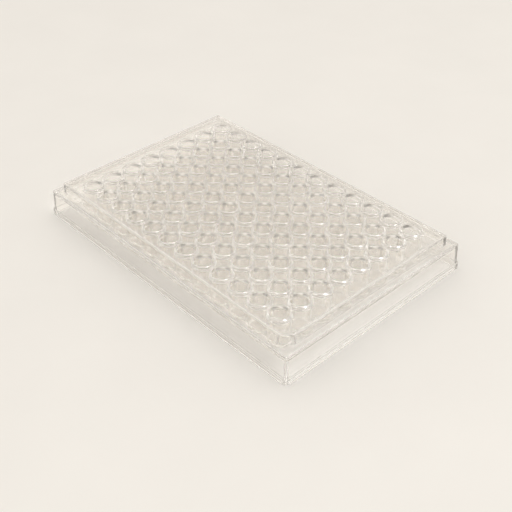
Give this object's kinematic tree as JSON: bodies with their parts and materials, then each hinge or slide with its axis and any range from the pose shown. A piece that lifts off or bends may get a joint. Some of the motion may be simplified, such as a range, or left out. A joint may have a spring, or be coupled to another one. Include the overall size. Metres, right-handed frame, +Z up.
{
  "type": "well plate",
  "caption": "Clear moulded well plate for small liquid samples: round flat-bottomed wells in a grid, a lid ledge, a straight skirt, a low foot flange and a cut deck corner.",
  "frame": {"origin": "on the surface that the plate stands on, under the middle of its rectangular foot", "axes": "+X along the long side, which holds twelve wells in a row; +Y along the short side, which holds eight; +Z up, out of the wells. The cut corner of the deck is at +X, -Y."},
  "size_m": [0.1278, 0.0854, 0.0143],
  "materials": {
    "clear_plastic": "clear crystal polystyrene, smooth and glossy, colourless to very slightly warm"
  },
  "bodies": {
    "root": {"well_plate": "clear_plastic"}
  },
  "joints": []
}
